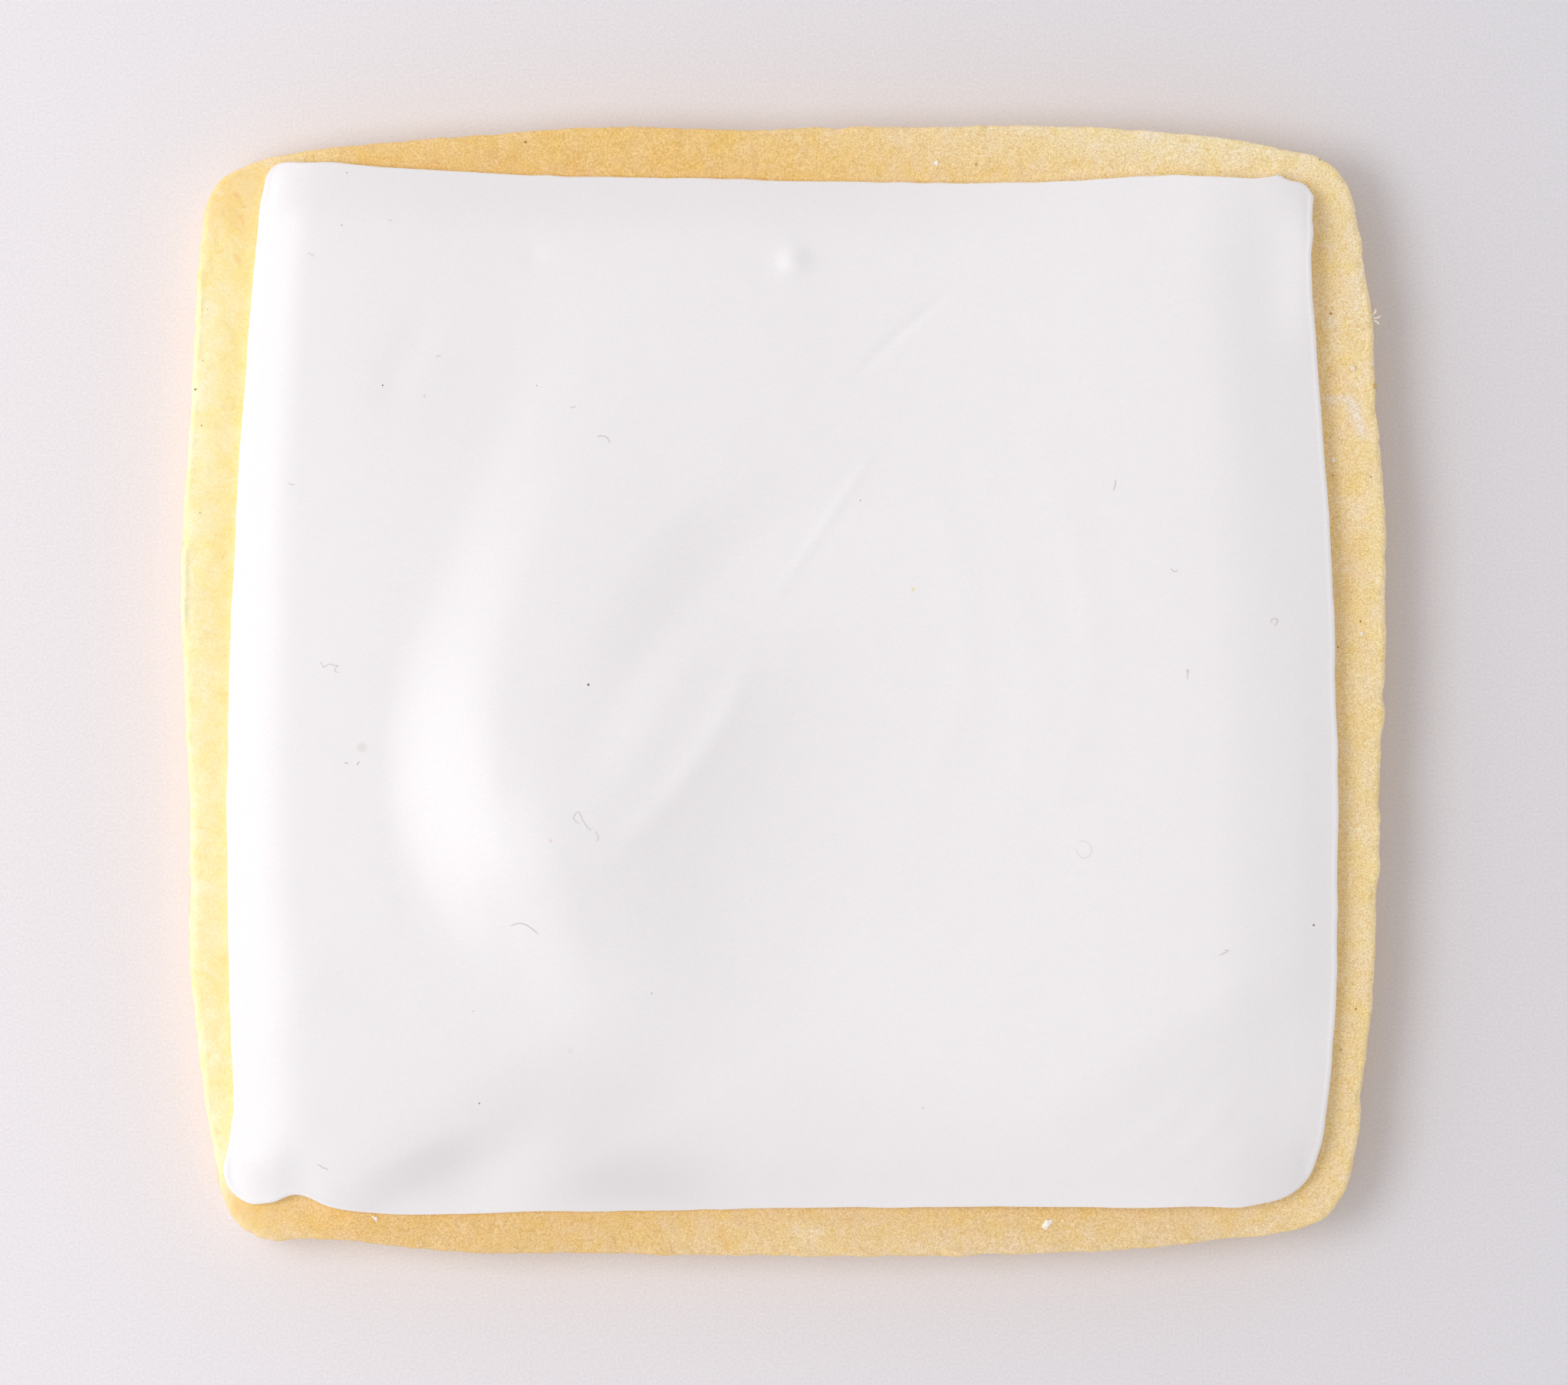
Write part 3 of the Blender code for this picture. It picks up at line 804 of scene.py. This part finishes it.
def icingHeight(points):
    # height of the icing above the biscuit's flat top: its thickness, with a round lip at the edge
    edge, lip = ringDistance(points, icingEdge), icing["lip"]
    height = icing["thickness"] - lip + np.sqrt(lip**2 - np.clip(lip - edge, 0, lip) ** 2)
    # rim = height x exp(-((distance from the edge - inset) / width) squared)
    inset, width, rise = icing["rimLine"]
    height += rise * np.exp(-(((edge - inset) / width) ** 2))
    # sink = depth x (1 - distance from that side / reach) to the power
    corner = icing["side"] * np.arange(5)
    closed = np.vstack([icingCalm, icingCalm[:1]])
    right, top, left, bottom = (closed[start : end + 1] for start, end in zip(corner, corner[1:]))
    sides = {"left": (left[::-1], 0), "right": (right, 0), "top": (top[::-1], 1), "bottom": (bottom, 1)}
    for name, (border, axis) in sides.items():
        depth, reach, widen, power = icing["sinks"][name]
        along = points[:, 1 - axis]
        inward = np.abs(np.interp(along, border[:, 1 - axis], border[:, axis]) - points[:, axis])
        height -= depth * np.clip(1 - inward / (reach + widen * along), 0, 1) ** power
    return height + icingRelief(points)


def icingSurface(points):
    # height of the icing's top above the table, which is never thinner than the least
    # surface = biscuit + least + log(1 + exp((height - least) x sharpness)) / sharpness
    least, sharp = icing["least"], icing["sharpness"]
    return biscuitSurface(points) + least + np.logaddexp(0.0, (icingHeight(points) - least) * sharp) / sharp


def makeIcing(material):
    # a grid for its top, then rows of points down its wall and in under its foot
    ring, row = icingRing, icing["side"] + 1
    top = squareRings(icingCalm, ring - icingCalm, icing["side"])
    height = icingSurface(top)
    number = np.arange(row * row).reshape(row, row)
    quads = np.stack([number[:-1, :-1], number[:-1, 1:], number[1:, 1:], number[1:, :-1]], axis=2)
    faces = quads.reshape(-1, 4).tolist()
    border = np.concatenate([number[:-1, -1], number[-1, :0:-1], number[:0:-1, 0], number[0, :-1]])
    outward, ground = ringOutward(ring), biscuitSurface(ring)
    wall = height[border] - ground
    rows = [(inset, ground + share * wall) for inset, share in icing["wall"]]
    rows += [(inset, ground - icing["foot"]) for inset in icing["footInsets"]]
    points = [np.column_stack([top, height])]
    upper, count = border, row * row
    for inset, level in rows:
        points.append(np.column_stack([ring - inset * outward, level]))
        lower = np.arange(count, count + len(ring))
        faces += stripFaces(upper, lower)
        upper, count = lower, count + len(ring)
    faces.append(upper[::-1].tolist())
    points = np.vstack(points)
    piece = meshPiece("whiteIcing", points, faces, material, "icing", "icing")
    # painted shade = strength x exp(-(x / half length) squared - (y / half length) squared), all added
    shadeDepth = sum(strength * np.exp(-(((points[:, 0] - x) / wide) ** 2) - ((points[:, 1] - y) / tall) ** 2)
               for x, y, wide, tall, strength in icing["paintedShades"])
    piece.data.attributes.new("paintedShade", "FLOAT", "POINT").data.foreach_set("value", shadeDepth.astype(np.float32))


def icingMaterial():
    material, tree, shader = newMaterial("white sugar icing", icing["colour"], icing["roughness"], 0.5)
    where = addNode(tree, "TexCoord").outputs["Object"]
    # painted light: the colour brightens from the middle to this far right
    far, white = icing["paintedLightRight"]
    right = remap(tree, axisValue(tree, where, "X"), 0.0, far * mm, 1.0, white)
    # sugar crystals make colour and surface finely uneven, over faint wide clouds
    (size, change), (wide, slight) = icing["crystals"], icing["clouds"]
    crystals, clouds = noise(tree, where, size * mm, 2.0, 0.6), noise(tree, where, wide * mm, 2.0, 0.5)
    change = maths(tree, "MULTIPLY_ADD", remap(tree, crystals, *noiseSpan, -1.0, 1.0, smooth=False), change,
                   remap(tree, clouds, *noiseSpan, -slight, slight, smooth=False))
    colour = brighten(tree, icing["colour"], maths(tree, "ADD", right, change))
    # painted shade: the icing's colour is drawn towards grey where the painted shade attribute is high
    shadeDepth = addNode(tree, "Attribute", attribute_name="paintedShade").outputs["Fac"]
    colour = mixColour(tree, shadeDepth, colour, icing["paintedShadeColour"])
    # a stain is full up to a fifth of its radius and fades out at the radius, at any height
    flat = addNode(tree, "VectorMath", {0: where, 1: (1, 1, 0)}, operation="MULTIPLY").outputs[0]
    for x, y, radius, strength, stain in icing["stains"]:
        away = addNode(tree, "VectorMath", {0: flat, 1: (x * mm, y * mm, 0)}, operation="DISTANCE")
        mask = remap(tree, away.outputs["Value"], radius * mm, 0.2 * radius * mm)
        colour = mixColour(tree, maths(tree, "MULTIPLY", mask, strength), colour, stain)
    tree.links.new(colour, shader.inputs["Base Color"])
    roughen(tree, shader, crystals, *icing["bump"])
    return material


# Crumbs, specks and lint

lint = {
    "radius": 0.0125,
    "sides": 5,
    "steps": 6,  # pieces of tube between two places on a fibre
    "taper": (0.4, 6.0),  # share of the radius at its ends, and how fast that grows
    "colour": (0.43, 0.39, 0.375),
    "roughness": 0.9,
    # each fibre: where it lies, its share of the radius, then x and y of places along it, counted from there
    "fibres": (
        (-11.9, 16.8, 1, (-.35, -.07, -.28, .08, 0, .04, .22, -.02, .38, -.25, .4, -.42)),
        (-29.7, 1.6, 0.75, (-.88, .32, -.82, .2, -.7, -.02, -.45, .1, -.25, .18, 0, .08, .28, .05,
            .08, -.1, .08, -.32, .35, -.4)),
        (-12.9, -9, 0.7, (-.52, .2, -.8, .4, -.95, .62, -.75, .95, -.55, 1, -.45, .75, -.2, .25, .15, -.15,
            .3, -.1)),
        (-12.9, -9, 0.7, (.5, -.25, .65, -.5, .72, -.7, .65, -.87, .55, -.85)),
        (-17.1, -15.5, 1, (-.93, -.05, -.5, .12, 0, .08, .4, -.15, .95, -.58)),
        (-30.5, -31.4, 1, (-.36, .08, -.15, .02, .05, -.15, .25, -.18, .4, -.32)),
        (21.9, 13.7, 1, (.05, .26, .07, -.05, -.02, -.25, -.05, -.5)),
        (25.8, 8, 1, (-.16, .08, -.05, -.08, .15, -.12, .28, 0)),
        (32.4, 4.6, 0.85, (-.17, -.14, -.15, .05, 0, .17, .28, .12, .25, -.1, .08, -.32)),
        (26.7, 1.2, 0.85, (-.06, 0, 0, .2, .1, .12, .02, -.15, 0, -.45)),
        (19.8, -10.3, 0.45, (-.26, .36, .05, .38, .4, .2, .6, -.2, .45, -.6, 0, -.75, -.35, -.4, -.47, 0)),
        (29.1, -17.2, 1, (-.3, -.28, .3, .02, .02, .1)),
        (-32.7, 13.8, 0.9, (-.08, -.08, .1, -.12, .25, -.18, .42, -.12)),
        (-28.1, -4.8, 1.4, (-.1, -.1, 0, .05, .08, .12)),
        (-28.9, -4.8, 1.4, (-.1, 0, .02, .04, .1, -.02)),
        (-31.2, 28.85, 0.7, (-.26, .05, -.12, .08, 0, .02, .05, -.08, .2, -.04)),
        (-26, 31.1, 0.7, (-.16, .03, -.05, .06, .08, 0, .12, -.08)),
        (-23.7, 19.5, 0.9, (-.03, .12, -.05, 0, .02, -.1)),
        (-22.8, 22.1, 1, (-.13, -.04, -.06, .05, .05, .06, .13, 0)),
        (-13.9, 18.8, 1, (-.2, -.06, 0, -.04, .18, .04)),
    ),
}

bits = {
    "rings": 7,
    "sides": 10,
    "rough": (0.42, 0.9),  # unevenness as a share of the radius, and its noise's cell
    "raise": 0.3,  # how high its middle lies, as a share of its height
    "seed": 40,  # of the first bit of each piece; the others follow
    "shades": (0.8, 1.15),  # multiply the colour in the grain's gaps and on its grains
    "roughness": 0.8,
}

# each piece's name, its material's, slot and colour, then its bits: x, y, radius, how tall for the width
bitPieces = (
    ("icingCrumbs", "icing crumbs", "icing", (0.96, 0.92, 0.84), (
        (17.4, -35.54, .19, .5), (17.55, -35.38, .25, .45), (17.75, -35.2, .17, .5), (17.88, -35.1, .09, .5),
        (18.5, -35.15, .08, .5), (37.8, 21.4, .15, .7), (36.5, 15.3, .13, .7), (38.4, 3.8, .12, .6),
        (-27.2, -34.9, .08, .4), (-27.06, -35, .12, .4), (-26.98, -35.13, .07, .4), (10.2, 35, .16, .4),
    )),
    ("biscuitCrumbs", "biscuit crumbs", "biscuit", (0.66, 0.43, 0.19), (
        (39.25, 20.2, .15, .9), (12.8, 34.9, .12, .6), (31.15, 35.55, .08, .5), (-35.9, 27.1, .05, .4),
    )),
    ("specksOnIcing", "dark specks", None, (0.2, 0.13, 0.07), (
        (-12.87, .4, .065, .5), (-20.1, -27.3, .05, .5), (-8.7, -20, .035, .6), (-26.5, 20.2, .045, .5),
        (35.1, -15.5, .06, .5), (9.25, -27.6, .03, .5), (-16.3, 20.2, .03, .5), (5.1, 12.6, .03, .5),
        (-20.5, -21.2, .03, .5), (-29.2, 30.8, .035, .5), (-28.9, 34.3, .035, .5),
    )),
    ("specksOnBiscuit", "burnt specks", None, (0.38, 0.21, 0.09), (
        (-17.1, 36.4, .07, .5), (36.35, 25, .07, .5), (36.5, 14.3, .05, .5), (39, 14.2, .05, .5),
        (38.3, 4.6, .06, .5), (39.7, 4.3, .05, .5), (36.8, 2.9, .06, .5), (38, -21.1, .05, .5),
        (37, -23.8, .05, .5), (35.6, 35.25, .05, .5), (35.5, 34.1, .04, .5), (-39, 20, .07, .7),
        (-38.5, 21.9, .035, .5), (-38.6, 17.6, .045, .5), (-36.35, 22.5, .035, .5), (-38.2, 25.3, .03, .5),
        (-36.6, 12.3, .035, .5), (-38.7, 11.8, .035, .5),
    )),
)

# the frayed wisp at the right edge: places from its root to its tips
wisp = {
    "radius": 0.06,
    "sides": 6,
    "steps": 6,
    "colour": (0.94, 0.88, 0.74),
    "strands": (
        ((39, 24.8, 4.3), (39.4, 24.75, 4.4), (39.7, 24.9, 4.35)),
        ((39, 24.6, 4.3), (39.35, 24.55, 4.4), (39.6, 24.35, 4.3)),
        ((39, 24.9, 4.4), (39.3, 25.1, 4.5), (39.35, 25.35, 4.5)),
    ),
}


def tubeMesh(path, radius, sides):
    # a closed tube round a path in space, thinner towards its ends; gives its points and faces
    thinnest, growth = lint["taper"]
    along = np.gradient(path, axis=0)
    along /= np.linalg.norm(along, axis=1)[:, None]
    across = np.cross(along, (0.0, 0.0, 1.0))
    across /= np.linalg.norm(across, axis=1)[:, None]
    up = np.cross(across, along)
    turn = np.linspace(0, 2 * pi, sides, endpoint=False)
    share = np.linspace(0, 1, len(path))
    thick = radius * np.minimum(1.0, thinnest + growth * np.minimum(share, 1 - share))
    ring = across[:, None] * np.cos(turn)[None, :, None] + up[:, None] * np.sin(turn)[None, :, None]
    points = path[:, None] + ring * thick[:, None, None]
    return points.reshape(-1, 3), closedFaces(np.arange(len(path) * sides).reshape(-1, sides))


def lumpMesh(centre, radius, tall, seed):
    # a small uneven crumb: a globe whose radius smooth noise changes; gives its points and faces
    rise, turn = np.meshgrid(np.linspace(pi / 2, -pi / 2, bits["rings"] + 2)[1:-1],
                             np.linspace(0, 2 * pi, bits["sides"], endpoint=False), indexing="ij")
    way = np.stack([np.cos(rise) * np.cos(turn), np.cos(rise) * np.sin(turn), np.sin(rise)], axis=2)
    way = np.vstack([way.reshape(-1, 3), (0, 0, 1), (0, 0, -1)])
    rough, cell = bits["rough"]
    size = radius * (1 + rough * softNoise(way, cell, seed))
    points = np.array(centre) + way * size[:, None] * (1, 1, tall)
    number = np.arange(rise.size).reshape(rise.shape)
    faces = rowFaces(number)
    faces += [(rise.size, a, b) for a, b in zip(number[0].tolist(), np.roll(number[0], -1).tolist())]
    faces += [(rise.size + 1, b, a) for a, b in zip(number[-1].tolist(), np.roll(number[-1], -1).tolist())]
    return points, faces


def joinMeshes(parts):
    # several point and face lists as one
    points, faces, count = [], [], 0
    for some, sides in parts:
        points.append(some)
        faces += [[number + count for number in side] for side in sides]
        count += len(some)
    return np.vstack(points), faces


def curveThrough(places, steps):
    # an open smooth curve through the places
    places = np.array(places, float)
    ends = np.vstack([2 * places[0] - places[1], places, 2 * places[-1] - places[-2]])
    share = np.linspace(0, 1, steps, endpoint=False)[:, None]
    curve = [smoothStretch(*four, share) for four in zip(ends, ends[1:], ends[2:], ends[3:])]
    return np.vstack(curve + [places[-1:]])


def makeLint():
    tubes = []
    for x, y, share, places in lint["fibres"]:
        flat = curveThrough(np.reshape(places, (-1, 2)), lint["steps"]) + (x, y)
        radius = lint["radius"] * share
        tubes.append(tubeMesh(np.column_stack([flat, icingSurface(flat) + radius]), radius, lint["sides"]))
    material = newMaterial("grey lint", lint["colour"], lint["roughness"])[0]
    meshPiece("lint", *joinMeshes(tubes), material)


def makeBits(name, places, surface, material, slot):
    # loose bits partly sunk in a surface, which gives its height at some places
    places = np.array(places)
    lumps = []
    for seed, ((x, y, radius, tall), height) in enumerate(zip(places, surface(places[:, :2])), bits["seed"]):
        lumps.append(lumpMesh((x, y, height + bits["raise"] * radius * tall), radius, tall, seed))
    meshPiece(name, *joinMeshes(lumps), material, slot)


def bitsMaterial(name, colour):
    # one colour with the dough's grain in it
    material, tree, shader = newMaterial(name, colour, bits["roughness"])
    grain = useGroup(tree, crumbGrain, Vector=addNode(tree, "TexCoord").outputs["Object"])
    shade = remap(tree, grain["Tint"], 0.0, 1.0, *bits["shades"], smooth=False)
    tree.links.new(brighten(tree, colour, shade), shader.inputs["Base Color"])
    return material


def makeLooseThings():
    makeLint()
    for name, look, slot, colour, places in bitPieces:
        surface = icingSurface if name == "specksOnIcing" else biscuitSurface
        makeBits(name, places, surface, bitsMaterial(look, colour), slot)
    strands = [tubeMesh(curveThrough(places, wisp["steps"]), wisp["radius"], wisp["sides"])
               for places in wisp["strands"]]
    meshPiece("frayedWisp", *joinMeshes(strands), bitsMaterial("pale wisp", wisp["colour"]), "biscuit")


makeBiscuit(biscuitMaterial())
print("biscuit made")
# the icing's plain outline, its edge that wanders about that, and the same in fewer points
icingCalm = evenSides(smoothRing(icingOutline, 6000), icing["side"])
icingRing = icingCalm + ringOutward(icingCalm) * edgeWander(icingCalm)[:, None]
icingEdge = evenRing(icingRing, 900)
makeIcing(icingMaterial())
print("icing made")
makeLooseThings()
print("crumbs, specks and lint made")
